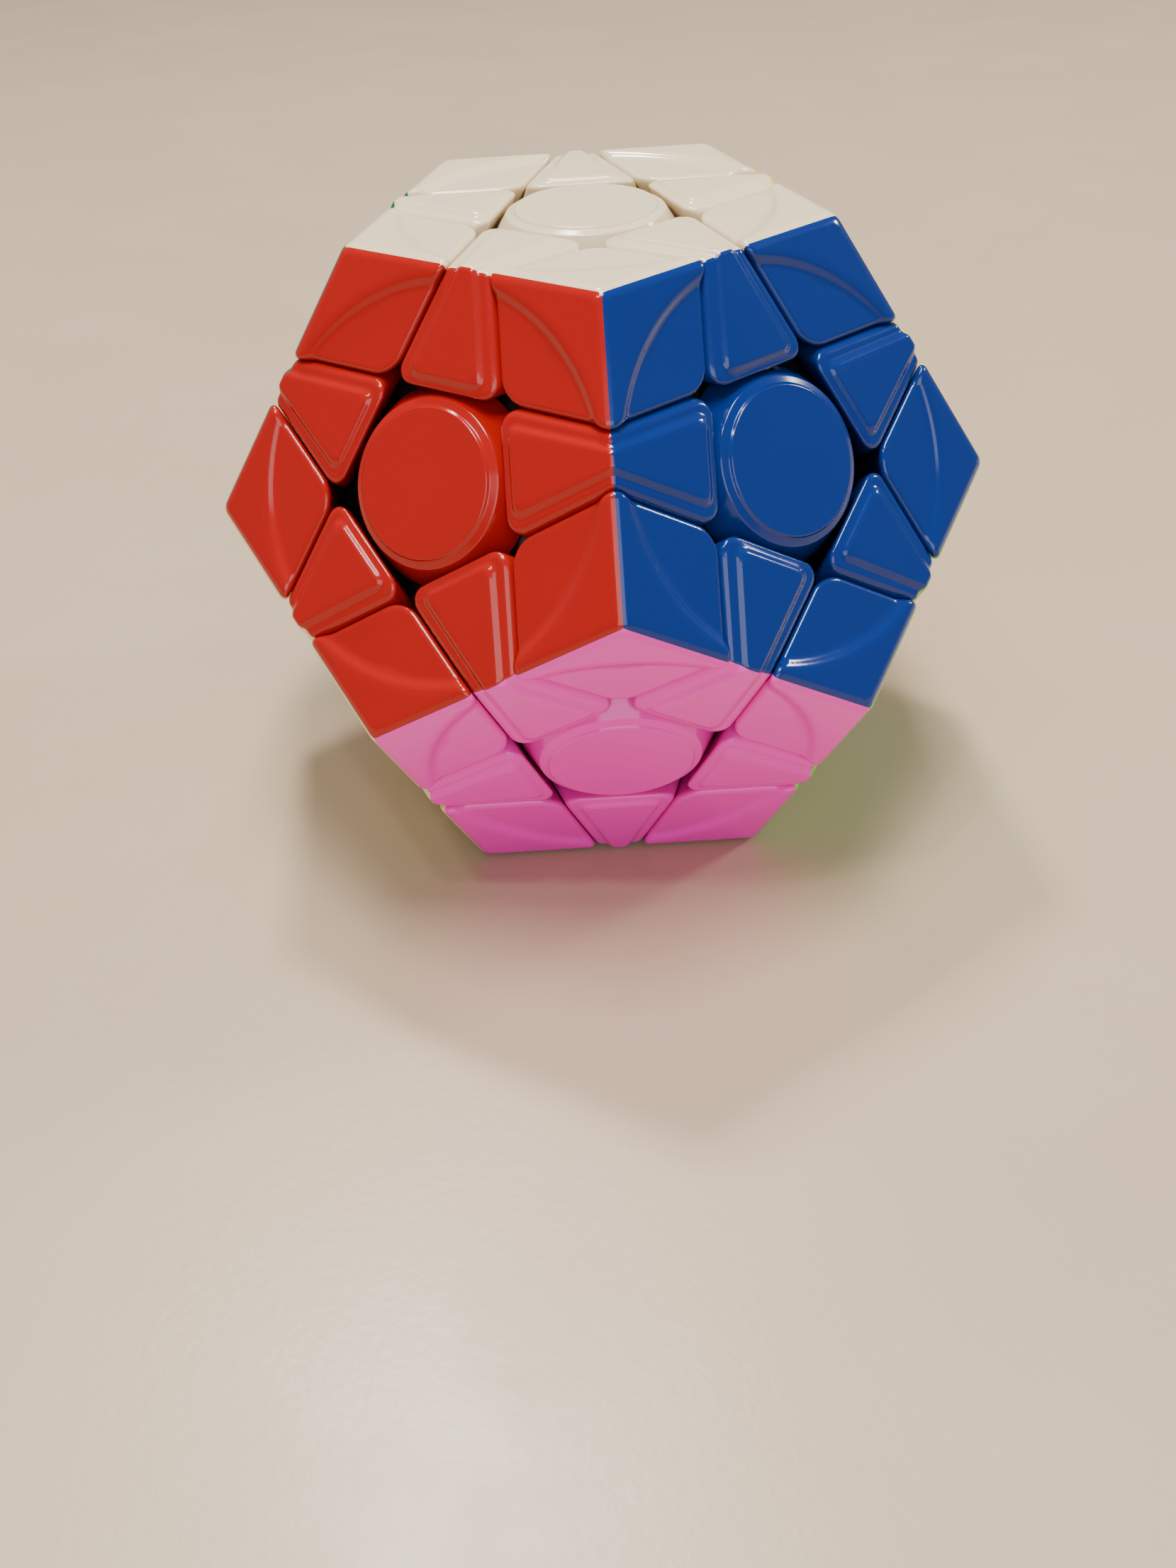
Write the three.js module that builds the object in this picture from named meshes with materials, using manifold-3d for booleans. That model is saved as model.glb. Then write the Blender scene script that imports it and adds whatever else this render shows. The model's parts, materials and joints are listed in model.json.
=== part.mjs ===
// A twelve-colour dodecahedron twisty puzzle, in millimetres.
// Origin: the middle of the core, where all twelve turning axes meet.  +Z: out through the white face.
// The puzzle stands on its grey face, and the joining edge of the red and blue faces points to -Y.
//
// Every face has a centre, five edges and five corners.  Twelve flat cuts, one below each face, part them.
// Below a ball of lockRadius the cuts widen into cones, so that the foot of each corner lies under its
// edges, the foot of each edge lies under its two centres, and twelve screws hold the centres to the core.
import * as THREE from "three";
import { mergeVertices } from "three/addons/utils/BufferGeometryUtils.js";
import { ConvexGeometry } from "three/addons/geometries/ConvexGeometry.js";
import Module from "manifold-3d";

const wasm = await Module();
wasm.setup();

// Driving dimensions
const edgeLength = 37.0;          // one edge of the dodecahedron
const cornerShare = 0.43;         // length of a corner piece along a face edge, as a share of edgeLength
const halfGap = 0.15;             // each piece stands this far back from a cut
const lockRadius = 38.0;          // ball at which the flat cuts turn into cones
const lockGap = 0.3;              // feet stay this far inside the lock ball, covers this far outside
const lockAngle = 52.0;           // half angle of the cones, degrees
const footFloor = 33.0;           // feet end on a flat this far from the middle
const recessDepth = 0.8;          // inner petal of a corner, below its rim
const rimDepth = 7.7;             // from a vertex of the dodecahedron to the rim of the petal
const rimRadius = 26.0;           // arc of that rim
const rimSlope = 1.0;             // width of the slope from the rim to the petal
const petalTip = 13.9;            // inner end of a petal, from the middle of its face
const tipDepth = 5.2;             // depth of the cut that blunts the inner ends
const flangeDrop = 0.55;          // flange round the raised panel of an edge, below the panel
const panelInner = [12.4, 4.8];   // raised panel at its wide end: distance from the face middle, half width
const panelOuterHalf = 0.8;       // half width of the raised panel where it meets the next face
const panelSlope = 0.5;           // width of the slope round the raised panel
const edgeNibble = 1.3;           // taken off the two inner points of an edge piece
const capRadius = 8.7;            // flat round top of a centre
const lipRadius = 10.0;           // outer lip round that top
const lipDrop = 1.0;              // from the top down to the lip
const coreRadius = 11.0;
const armRadius = 3.4;
const armLength = 17.0;
const screwRadius = 1.5;
const springRadius = 2.8;         // spring and screw head, as one plain drum
const springFrom = 22.0;
const screwTop = 33.0;
const boreRadius = 1.95;
const cavityRadius = 3.5;
const cavityFrom = 21.4;
const cavityTo = 35.0;
const stalkFoot = 17.6;           // lower end of a centre's stalk
const stalkRadius = 6.3;
const roundSides = 16;            // sides of a centre
const armSides = 6;
const coneSides = 24;
const roomLean = 10.3;            // the flat roof over a corner's foot leans this far off the edge's axis
const bigBox = 260;

// The dodecahedron
const degrees = Math.PI / 180;
const tilt = Math.atan(0.5);                                   // the upper and lower faces lean by this
const faceRadius = edgeLength * Math.sqrt(25 + 11 * Math.sqrt(5)) / Math.sqrt(40);
const faceToVertex = edgeLength / (2 * Math.sin(36 * degrees));
const faceToEdge = edgeLength / (2 * Math.tan(36 * degrees));
const vertexRadius = Math.hypot(faceRadius, faceToVertex);
const vertexLean = Math.atan2(faceToVertex, faceRadius);       // from a face axis to a vertex
const edgeLean = Math.atan2(faceToEdge, faceRadius);           // from a face axis to the middle of an edge
const besideLean = Math.PI / 2 - edgeLean;                     // from an edge to the faces at its two ends
const cutDistance = cornerShare * edgeLength * Math.sin(72 * degrees);
const cutHeight = faceRadius - cutDistance * Math.cos(tilt);   // the cuts, from the middle
const cutInner = faceToEdge - cutDistance;                     // the cuts, from the middle of a face

// name, colour, direction round Z, level: 2 top, 1 upper, -1 lower, -2 bottom
const faceList = [
  ["white", 0xe9e4da, 0, 2],
  ["blue", 0x124a94, -54, 1],
  ["yellow", 0xd6d83c, 18, 1],
  ["purple", 0x5b2a86, 90, 1],
  ["green", 0x1c7a57, 162, 1],
  ["red", 0xbe2d20, -126, 1],
  ["pink", 0xd75fa5, -90, -1],
  ["lime", 0x79c83c, -18, -1],
  ["orange", 0xe8761c, 54, -1],
  ["light_blue", 0x66b6dc, 126, -1],
  ["cream", 0xe6dcae, -162, -1],
  ["grey", 0x8a8c8e, 0, -2],
];

function faceNormal(around, level) {
  const rise = Math.abs(level) === 2 ? Math.PI / 2 : tilt;
  const up = Math.sign(level) * rise;
  const flat = Math.abs(level) === 2 ? 0 : Math.cos(up);
  const turn = around * degrees;
  return new THREE.Vector3(flat * Math.cos(turn), flat * Math.sin(turn), Math.sin(up));
}

const faces = faceList.map(([name, colour, around, level]) => {
  return { name, colour, normal: faceNormal(around, level) };
});

// Two faces that share an edge stand 63.4 degrees apart
const nextTo = (a, b) => Math.abs(a.normal.dot(b.normal) - Math.cos(2 * edgeLean)) < 0.01;

// Solids
function solid(geometry) {
  const plain = geometry.index ? geometry.toNonIndexed() : geometry.clone();
  plain.deleteAttribute("normal");
  plain.deleteAttribute("uv");
  const merged = mergeVertices(plain, 1e-4);
  const vertProperties = new Float32Array(merged.attributes.position.array);
  const triVerts = new Uint32Array(merged.index.array);
  return new wasm.Manifold(new wasm.Mesh({ numProp: 3, vertProperties, triVerts }));
}

function surface(body) {
  const mesh = body.getMesh();
  const geometry = new THREE.BufferGeometry();
  geometry.setAttribute("position", new THREE.BufferAttribute(mesh.vertProperties, 3));
  geometry.setIndex(new THREE.BufferAttribute(mesh.triVerts, 1));
  return geometry;
}

// Turns +Z onto outward and +X towards the second direction
function standing(outward, towards) {
  const z = outward.clone().normalize();
  const x = towards.clone().addScaledVector(z, -towards.dot(z)).normalize();
  return new THREE.Matrix4().makeBasis(x, new THREE.Vector3().crossVectors(z, x), z);
}

const anySide = (z) => (Math.abs(z.x) < 0.9 ? new THREE.Vector3(1, 0, 0) : new THREE.Vector3(0, 1, 0));

// All the space on the inner side of a plane
function below(normal, distance) {
  const box = new THREE.BoxGeometry(bigBox, bigBox, bigBox);
  box.translate(0, 0, distance - bigBox / 2);
  return solid(box.applyMatrix4(standing(normal, anySide(normal))));
}

const above = (normal, distance) => below(normal.clone().negate(), -distance);

// A foot's rough block: its top points lie on a ball just inside the lock ball, its floor is flat
function domed(spots) {
  const points = [];
  for (const [lean, around] of spots) {
    const top = leaning(lean * degrees, around).multiplyScalar(lockRadius - lockGap);
    points.push(top, new THREE.Vector3(top.x, top.y, footFloor));
  }
  return solid(new ConvexGeometry(points));
}

// A cone from the middle of the puzzle; with outside, its flats touch the angle, not its corners
function cone(axis, angle, outside) {
  const height = 60;
  const widen = outside ? 1 / Math.cos(Math.PI / coneSides) : 1;
  const shape = new THREE.ConeGeometry(height * Math.tan(angle * degrees) * widen, height, coneSides);
  shape.rotateX(-Math.PI / 2);
  shape.translate(0, 0, height / 2);
  return solid(shape.applyMatrix4(standing(axis, anySide(axis))));
}

const insideAll = (parts) => parts.reduce((sum, part) => sum.intersect(part));

// Points on a face: outwards from its middle, sideways, and height over the face
function onFace(normal, towards) {
  const frame = standing(normal, towards);
  return (out, side, height) => new THREE.Vector3(out, side, faceRadius + height).applyMatrix4(frame);
}

const leaning = (lean, around) => new THREE.Vector3(
  Math.sin(lean) * Math.cos(around * degrees), Math.sin(lean) * Math.sin(around * degrees), Math.cos(lean));

const lockGapAngle = lockGap / lockRadius / degrees;
const outward = new THREE.Vector3(0, 0, 1);

// The corner piece, standing with its vertex on +Z and its three faces at 0, 120 and 240 degrees
function cornerSolid() {
  const normals = [0, 120, 240].map((around) => leaning(vertexLean, around));
  let body = insideAll(normals.flatMap((n) => [below(n, faceRadius), above(n, cutHeight + halfGap)]));
  for (const normal of normals) {
    body = body.subtract(petalRecess(normal)).subtract(tipCut(normal));
  }
  const spots = [[0, 0]];
  for (let around = 0; around < 360; around += 60) {
    spots.push([12, around], [24, around]);
  }
  const foot = insideAll([domed(spots), ...normals.map((n) => cone(n, lockAngle - lockGapAngle, false))]);
  return body.add(foot);
}

// The sunk petal: everything inside an arc that bulges towards the vertex
function petalRecess(normal) {
  const at = onFace(normal, outward);
  const arcMiddle = faceToVertex - rimDepth - rimRadius;
  const points = [];
  for (const [height, grow] of [[-recessDepth, -rimSlope], [recessDepth, rimSlope]]) {
    const radius = rimRadius + grow;
    for (let turn = -36; turn <= 36; turn += 18) {
      const out = arcMiddle + radius * Math.cos(turn * degrees);
      points.push(at(out, radius * Math.sin(turn * degrees), height));
    }
    points.push(at(petalTip - 6, radius * Math.sin(36 * degrees), height));
    points.push(at(petalTip - 6, -radius * Math.sin(36 * degrees), height));
  }
  return solid(new ConvexGeometry(points));
}

// Blunts the inner end of the petal
function tipCut(normal) {
  const box = new THREE.BoxGeometry(petalTip, faceToVertex, tipDepth + 2);
  box.translate(petalTip / 2, 0, faceRadius - tipDepth + (tipDepth + 2) / 2);
  return solid(box.applyMatrix4(standing(normal, outward)));
}

// The edge piece, standing with its edge on +Z along Y and its two faces towards +X and -X
function edgeSolid() {
  const normals = [0, 180].map((around) => leaning(edgeLean, around));
  const ends = [90, 270].map((around) => leaning(besideLean, around));
  let body = insideAll([
    ...normals.flatMap((n) => [below(n, faceRadius - flangeDrop), above(n, cutHeight + halfGap)]),
    ...ends.map((n) => below(n, cutHeight - halfGap)),
  ]);
  for (const normal of normals) {
    body = body.subtract(innerPoint(normal, 1)).subtract(innerPoint(normal, -1));
  }
  body = body.add(raisedPanel(normals));
  body = body.intersect(above(outward, footFloor));
  const spots = [];
  for (const along of [-22, -11, 11, 22]) {
    for (const across of [-9, 9]) {
      spots.push([Math.hypot(along, across), Math.atan2(across, along) / degrees]);
    }
  }
  body = body.add(insideAll([domed(spots), ...normals.map((n) => cone(n, lockAngle - lockGapAngle, false))]));
  for (const [i, end] of ends.entries()) {
    const roof = below(leaning(roomLean * degrees, [90, 270][i]), lockRadius + lockGap);
    body = body.subtract(cone(end, lockAngle + lockGapAngle, true).intersect(roof));
  }
  return body;
}

// The raised panel runs over the edge of the dodecahedron from one face to the other
function raisedPanel(normals) {
  const [inner, innerHalf] = panelInner;
  const points = [];
  for (const normal of normals) {
    const at = onFace(normal, outward);
    const floor = -flangeDrop - 0.05;
    const outer = faceToEdge + floor * Math.tan(edgeLean);
    for (const side of [-1, 1]) {
      points.push(at(inner, side * innerHalf, 0));
      points.push(at(faceToEdge, side * panelOuterHalf, 0));
      points.push(at(inner - panelSlope, side * (innerHalf + panelSlope), floor));
      points.push(at(outer, side * (panelOuterHalf + panelSlope), floor));
    }
  }
  return solid(new ConvexGeometry(points));
}

// Blunts one of the two inner points of an edge piece
function innerPoint(normal, side) {
  const halfWidth = (cutInner * Math.tan(36 * degrees)) - halfGap / Math.cos(18 * degrees);
  const point = new THREE.Vector2(cutInner + halfGap, halfWidth * side);
  const away = new THREE.Vector2(-Math.sin(36 * degrees), Math.cos(36 * degrees) * side);
  const size = 12;
  const middle = point.addScaledVector(away, size / 2 - edgeNibble);
  const box = new THREE.BoxGeometry(size, size, tipDepth + 2);
  box.rotateZ(Math.atan2(away.y, away.x));
  box.translate(middle.x, middle.y, faceRadius - tipDepth + (tipDepth + 2) / 2);
  return solid(box.applyMatrix4(standing(normal, outward)));
}

// The centre: a round cap on a stalk, hollow for the screw and its spring, bored through below
function centreSolid() {
  const flareAt = (z) => (cutHeight - halfGap - 0.05 - z * Math.cos(2 * edgeLean)) / Math.sin(2 * edgeLean);
  const coverRadius = lockRadius + lockGap + 0.1;
  const flareFoot = 36.35;
  const profile = [
    [0, cavityTo],
    [cavityRadius, cavityTo],
    [cavityRadius, cavityFrom],
    [boreRadius, cavityFrom],
    [boreRadius, stalkFoot],
    [stalkRadius, stalkFoot],
    [stalkRadius, Math.sqrt(coverRadius ** 2 - stalkRadius ** 2)],
    [flareAt(flareFoot) - 0.3, Math.sqrt(coverRadius ** 2 - (flareAt(flareFoot) - 0.3) ** 2)],
    [flareAt(flareFoot), flareFoot + 0.3],
    [lipRadius, faceRadius - lipDrop],
    [capRadius, faceRadius],
    [0, faceRadius],
  ].map(([radius, z]) => new THREE.Vector2(radius, z));
  const lathe = new THREE.LatheGeometry(profile, roundSides);
  lathe.rotateX(Math.PI / 2);
  return solid(lathe);
}

// The core: a ball with twelve arms, and in each arm a screw with its spring
function coreSolid() {
  const profile = [
    [0, 0],
    [armRadius, 0],
    [armRadius, armLength],
    [screwRadius, armLength],
    [screwRadius, springFrom],
    [springRadius, springFrom],
    [springRadius, screwTop],
    [0, screwTop],
  ].map(([radius, z]) => new THREE.Vector2(radius, z));
  let body = solid(new THREE.IcosahedronGeometry(coreRadius, 1));
  for (const face of faces) {
    const arm = new THREE.LatheGeometry(profile, armSides);
    arm.rotateX(Math.PI / 2);
    body = body.add(solid(arm.applyMatrix4(standing(face.normal, anySide(face.normal)))));
  }
  return body;
}

// The puzzle
const puzzle = new THREE.Group();

function plastic(colour) {
  return new THREE.MeshStandardMaterial({ color: colour, roughness: 0.25, metalness: 0.0 });
}

function addPiece(name, geometry, colour, placing) {
  const piece = new THREE.Mesh(geometry, plastic(colour));
  piece.name = name;
  piece.quaternion.setFromRotationMatrix(placing);
  puzzle.add(piece);
}

// Where a corner or an edge stands: its axis is the mean of its faces' axes
function pieceFrame(own) {
  const axis = own.reduce((sum, face) => sum.add(face.normal), new THREE.Vector3());
  return standing(axis, own[0].normal);
}

const cornerBody = cornerSolid();
const edgeBody = edgeSolid();
const cornerGeometry = surface(cornerBody);
const edgeGeometry = surface(edgeBody);
const centreGeometry = surface(centreSolid());

const corners = [];
const edges = [];
for (const [i, a] of faces.entries()) {
  for (const [j, b] of faces.entries()) {
    if (j > i && nextTo(a, b)) edges.push([a, b]);
    for (const [k, c] of faces.entries()) {
      if (j > i && k > j && nextTo(a, b) && nextTo(b, c) && nextTo(a, c)) corners.push([a, b, c]);
    }
  }
}

// One corner of the underside and its three edges are one moulded block
const blockFaces = ["lime", "orange", "grey"];
const inBlock = (own) => own.every((face) => blockFaces.includes(face.name));
const blockCorner = corners.find(inBlock);
const nameOf = (kind, own) => [kind, ...own.map((face) => face.name)].join("_");

for (const face of faces) {
  addPiece("centre_" + face.name, centreGeometry, face.colour, standing(face.normal, anySide(face.normal)));
}
for (const own of edges.filter((edge) => !inBlock(edge))) {
  addPiece(nameOf("edge", own), edgeGeometry, own[0].colour, pieceFrame(own));
}
for (const own of corners.filter((corner) => !inBlock(corner))) {
  addPiece(nameOf("corner", own), cornerGeometry, own[0].colour, pieceFrame(own));
}

function blockSolid() {
  const placed = (body, own) => body.transform(pieceFrame(own).toArray());
  const bridge = new THREE.CylinderGeometry(9, 9, 2, 24);
  bridge.rotateX(Math.PI / 2);
  bridge.translate(0, 0, lockRadius + 3);
  let body = placed(cornerBody, blockCorner).add(solid(bridge.applyMatrix4(pieceFrame(blockCorner))));
  for (const edge of edges.filter(inBlock)) {
    body = body.add(placed(edgeBody, edge));
  }
  return body;
}

addPiece(nameOf("block", blockCorner), surface(blockSolid()), blockCorner[0].colour, new THREE.Matrix4());
addPiece("core_with_screws", surface(coreSolid()), 0x1b1b1d, new THREE.Matrix4());

export default puzzle;
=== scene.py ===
import itertools
import json
import math

import bpy
import numpy as np
from mathutils import Matrix, Vector


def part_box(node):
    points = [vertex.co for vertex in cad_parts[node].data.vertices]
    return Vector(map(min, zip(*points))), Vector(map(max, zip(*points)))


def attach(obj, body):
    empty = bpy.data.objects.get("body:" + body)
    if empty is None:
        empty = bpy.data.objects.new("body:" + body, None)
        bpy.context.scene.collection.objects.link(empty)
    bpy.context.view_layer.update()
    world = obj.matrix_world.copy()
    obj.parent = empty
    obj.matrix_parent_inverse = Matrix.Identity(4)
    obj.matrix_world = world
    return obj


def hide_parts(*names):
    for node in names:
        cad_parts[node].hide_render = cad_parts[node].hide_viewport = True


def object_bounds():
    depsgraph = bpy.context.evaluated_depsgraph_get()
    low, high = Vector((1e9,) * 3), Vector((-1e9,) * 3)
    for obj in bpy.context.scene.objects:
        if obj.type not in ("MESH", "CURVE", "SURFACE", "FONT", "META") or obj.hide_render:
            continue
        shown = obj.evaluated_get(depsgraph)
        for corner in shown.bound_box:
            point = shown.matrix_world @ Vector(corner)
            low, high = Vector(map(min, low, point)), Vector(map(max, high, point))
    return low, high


# A twelve-colour dodecahedron twisty puzzle. Shapes are worked out in millimetres about the middle of
# the core, each in its own frame (+Z out of the puzzle), and go into their meshes in metres.

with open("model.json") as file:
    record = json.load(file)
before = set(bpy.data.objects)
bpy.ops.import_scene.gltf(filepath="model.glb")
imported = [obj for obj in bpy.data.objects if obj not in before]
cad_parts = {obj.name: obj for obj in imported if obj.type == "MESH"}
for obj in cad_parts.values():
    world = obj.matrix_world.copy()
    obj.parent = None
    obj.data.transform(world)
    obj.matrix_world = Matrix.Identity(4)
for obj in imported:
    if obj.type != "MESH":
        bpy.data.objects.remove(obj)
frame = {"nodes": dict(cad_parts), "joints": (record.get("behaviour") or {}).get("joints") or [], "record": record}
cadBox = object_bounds()
print("frame loaded:", len(frame["nodes"]), "CAD nodes")

mm = 0.001
degrees = math.pi / 180
halvings = 44                    # of a line on which a surface is looked for
weldDigits = 4                   # points alike to this many decimals of a millimetre become one
fullRound = 25 * degrees         # turned this far from its flat directions, a surface counts as rounded
halfSide = 36 * degrees          # half the angle that a face's edge takes up at the face's middle
halfVertex = 54 * degrees        # half the angle at a face's vertex
tileSlant = 18 * degrees         # between an edge tile's end cut and its middle line

# The dodecahedron, from the heights of the white and grey centres
faceRadius = (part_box("centre_white")[1].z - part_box("centre_grey")[0].z) / 2 / mm
edgeLength = faceRadius * math.sqrt(40) / math.sqrt(25 + 11 * math.sqrt(5))
faceToVertex = edgeLength / (2 * math.sin(halfSide))
faceToEdge = edgeLength / (2 * math.tan(halfSide))
vertexLean = math.atan2(faceToVertex, faceRadius)    # from a face axis to a vertex
edgeLean = math.atan2(faceToEdge, faceRadius)        # from a face axis to the middle of an edge
besideLean = math.pi / 2 - edgeLean                  # from an edge to the faces at its two ends
faceAngle = 2 * edgeLean                             # between the axes of two joined faces

# How the puzzle is cut up, in millimetres
cutting = {
    "cornerShare": 0.43,     # part of a face edge that a corner takes
    "gap": 0.07,             # from a cut to the piece
    "shellBall": 38.0,       # coloured shells end at this ball
    "footBall": 37.6,        # feet end at this one
    "footFloor": 33.1,       # flat underside of the feet
    "lockAngle": 52.0,       # half angle of the cones between the feet, degrees
    "lockSlack": 0.5,        # feet stand back from the cones, degrees
}
# From an edge to the cut beside it, along the face; a cut's height on its own face's axis; and from a cut
# to a tile, along the face
cutDistance = cutting["cornerShare"] * edgeLength * math.sin(2 * halfSide)
cutHeight = faceRadius - cutDistance * math.sin(faceAngle)
tileGap = cutting["gap"] / math.sin(faceAngle)


# Surfaces as whole arrays

def leaning(lean, around):
    # unit direction that leans off +Z by lean, towards the angle around
    return np.array([math.sin(lean) * math.cos(around), math.sin(lean) * math.sin(around), math.cos(lean)])


def unit(vectors):
    return vectors / np.linalg.norm(vectors, axis=-1, keepdims=True)


def stations(keys, counts):
    # straight runs between key values or key points, each cut into its own count of steps
    runs = []
    for start, end, count in zip(keys[:-1], keys[1:], counts):
        share = (np.arange(count) / count).reshape((-1,) + (1,) * np.ndim(start))
        runs.append(start + (end - start) * share)
    runs.append(np.asarray(keys[-1])[None])
    return np.concatenate(runs)


def softMax(sides, radius):
    # the largest of several distances; where two or more are near it, they meet in a round:
    # root of the sum of squares of (side + radius), less the radius
    lifted = np.stack(np.broadcast_arrays(*sides)) + radius
    return np.sqrt((np.maximum(lifted, 0) ** 2).sum(0)) + np.minimum(lifted.max(0), 0) - radius


def soften(value, soft):
    # zero below, the value itself above, and a parabola of half width soft between them
    near = np.clip(value, -soft, soft)
    return (near + soft) ** 2 / (4 * soft) + np.maximum(value - soft, 0)


def step(distance, width, depth, soft):
    # goes from nought to depth while distance goes from nought to width, with softened ends
    fall = distance * depth / width
    return soften(fall, soft) - soften(fall - depth, soft)


def castOnto(form, anchor, cage, reach=1.35):
    # slides each cage point along its line from the anchor to where the form is zero, by halving
    near = np.zeros(cage.shape[:-1])
    far = np.full(cage.shape[:-1], reach)
    for _ in range(halvings):
        half = (near + far) / 2
        inside = form(anchor + (cage - anchor) * half[..., None]) < 0
        near = np.where(inside, half, near)
        far = np.where(inside, far, half)
    return anchor + (cage - anchor) * near[..., None]


def steepest(form, points, reach=1e-4):
    # direction in which the form grows fastest, from a small step each way along each axis
    sides = [form(points + move) - form(points - move) for move in np.eye(3) * reach]
    return unit(np.stack(sides, -1))


def gridShape(grid, normals, rounding, anchor=None):
    # joins a grid of points into triangles; with an anchor, a fan from it closes the grid's border
    rows, columns = grid.shape[:2]
    points = grid.reshape(-1, 3)
    index = np.arange(rows * columns).reshape(rows, columns)
    a, b, c, d = index[:-1, :-1], index[:-1, 1:], index[1:, 1:], index[1:, :-1]
    sheet = np.concatenate([np.stack([a, b, c], -1).reshape(-1, 3), np.stack([a, c, d], -1).reshape(-1, 3)])
    triangles = sheet
    if anchor is not None:
        border = np.concatenate([
            index[0, :-1], index[:-1, -1], index[-1, :0:-1], index[:0:-1, 0], index[:1, 0],
        ])
        hub = np.full(len(border) - 1, len(points))
        points = np.vstack([points, anchor])
        triangles = np.vstack([sheet, np.stack([border[1:], border[:-1], hub], -1)])
        normals = np.vstack([normals.reshape(-1, 3), [0, 0, 1]])
        rounding = np.append(rounding.ravel(), 0)
    normals = normals.reshape(-1, 3)
    rounding = rounding.ravel()
    # equal points become one, and triangles that lose a side are dropped
    alike = np.round(points, weldDigits)
    _, first, same = np.unique(alike, axis=0, return_index=True, return_inverse=True)
    welded = same.ravel()[triangles]
    whole = (welded != np.roll(welded, 1, 1)).all(1)
    onSheet = np.arange(len(triangles)) < len(sheet)
    loopNormals = normals[triangles][whole]
    welded, onSheet, points = welded[whole], onSheet[whole], points[first]
    # a shape that is inside out is turned
    corners = points[welded]
    crossed = np.cross(corners[:, 1] - corners[:, 0], corners[:, 2] - corners[:, 0])
    if (corners[:, 0] * crossed).sum() < 0:
        welded, loopNormals, crossed = welded[:, ::-1], loopNormals[:, ::-1], -crossed
    area = np.linalg.norm(crossed, axis=1, keepdims=True)
    flat = np.repeat((crossed / np.maximum(area, 1e-12))[:, None], 3, 1)
    loopNormals = np.where(onSheet[:, None, None], loopNormals, flat)
    return {"points": points, "triangles": welded, "normals": loopNormals, "rounding": rounding[first]}


def castShape(form, cage, middle, flats, closed=False):
    # the form's surface over a cage; rounding is how far it has turned away from the flat directions
    grid = castOnto(form, middle, cage)
    normals = steepest(form, grid)
    turned = 1 - np.max(normals @ np.array(flats).T, -1)
    rounding = np.clip(turned / (1 - math.cos(fullRound)), 0, 1)
    return gridShape(grid, normals, rounding, None if closed else middle)


def roundedLine(corners, radii, steps=6):
    # a line of (radius, height) corners with an arc in place of each; also the normals to its left
    corners = np.array(corners, float)
    along = unit(np.diff(corners, axis=0))
    left = np.stack([-along[:, 1], along[:, 0]], -1)
    points, normals, rounding = [corners[:1]], [left[:1]], [[0]]
    bends = zip(corners[1:-1], radii, range(len(along)), range(1, len(along)))
    for corner, radius, before, after in bends:
        bend = math.atan2(left[before][0] * left[after][1] - left[before][1] * left[after][0],
                          left[before] @ left[after])
        start = corner - along[before] * radius * math.tan(abs(bend) / 2)
        side = -np.sign(bend)
        turns = math.atan2(left[before][1], left[before][0]) + np.linspace(0, bend, steps + 1)
        fan = np.stack([np.cos(turns), np.sin(turns)], -1)
        points.append(start - side * radius * left[before] + side * radius * fan)
        normals.append(fan)
        rounding.append(np.sin(np.linspace(0, math.pi, steps + 1)))
    points.append(corners[-1:])
    normals.append(left[-1:])
    rounding.append([0])
    return np.concatenate(points), np.concatenate(normals), np.concatenate(rounding)


def turnedShape(corners, radii, sides):
    # a rounded line carried round the Z axis
    line, lineNormals, lineRounding = roundedLine(corners, radii)
    around = np.linspace(0, 2 * math.pi, sides + 1)

    def carried(pairs):
        radial = pairs[:, :1]
        height = np.broadcast_to(pairs[:, 1:], (len(pairs), sides + 1))
        return np.stack([radial * np.cos(around), radial * np.sin(around), height], -1)

    rounding = np.broadcast_to(lineRounding[:, None], (len(line), sides + 1))
    return gridShape(carried(line), carried(lineNormals), rounding)


# Corner shells: a third of a corner, over one face

cornerShape = {
    "edgeRound": 1.05,       # where two colours meet
    "sideRound": 1.1,        # towards the neighbouring pieces
    "innerRound": 2.6,       # inner point and the edge below it
    "ballRound": 0.3,        # at the foot of the walls
    "petalDepth": 0.62,
    "rimFromVertex": 7.5,
    "rimRadius": 26.0,
    "rimSlope": 1.0,         # width of the slope from the rim down to the petal
    "rimSoft": 0.3,
    "anchor": 43.4,          # inside the shell, on the corner's axis
}
cornerGrid = {
    "columns": 64,
    "evenShare": 0.35,       # the rest of the columns' spread crowds them towards both sides
    "rows": [4, 7, 9, 6, 7],         # vertex, rim, slope, petal and side bands
    "wallRows": [6, 7, 4],           # top and rest of the wall, and the ball below
    "vertexBand": 1.0,
    "sideBand": 1.6,
    "slopeMargin": 0.25,     # the slope's rows begin and end this far outside it
    "slopeTopGap": 0.04,     # and stay this far from the side band
    "slopeFootGap": 0.02,
    "wallTop": 0.22,         # share of the wall
}
thirds = [leaning(vertexLean, turn * degrees) for turn in (0, 120, 240)]
rimMiddle = faceToVertex - cornerShape["rimFromVertex"] - cornerShape["rimRadius"]


def onFace(points, axis):
    # distance from the face middle towards this piece's axis, and sideways
    outward = unit(np.array([0, 0, 1]) - axis * axis[2])
    return points @ outward, points @ np.cross(axis, outward)


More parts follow.
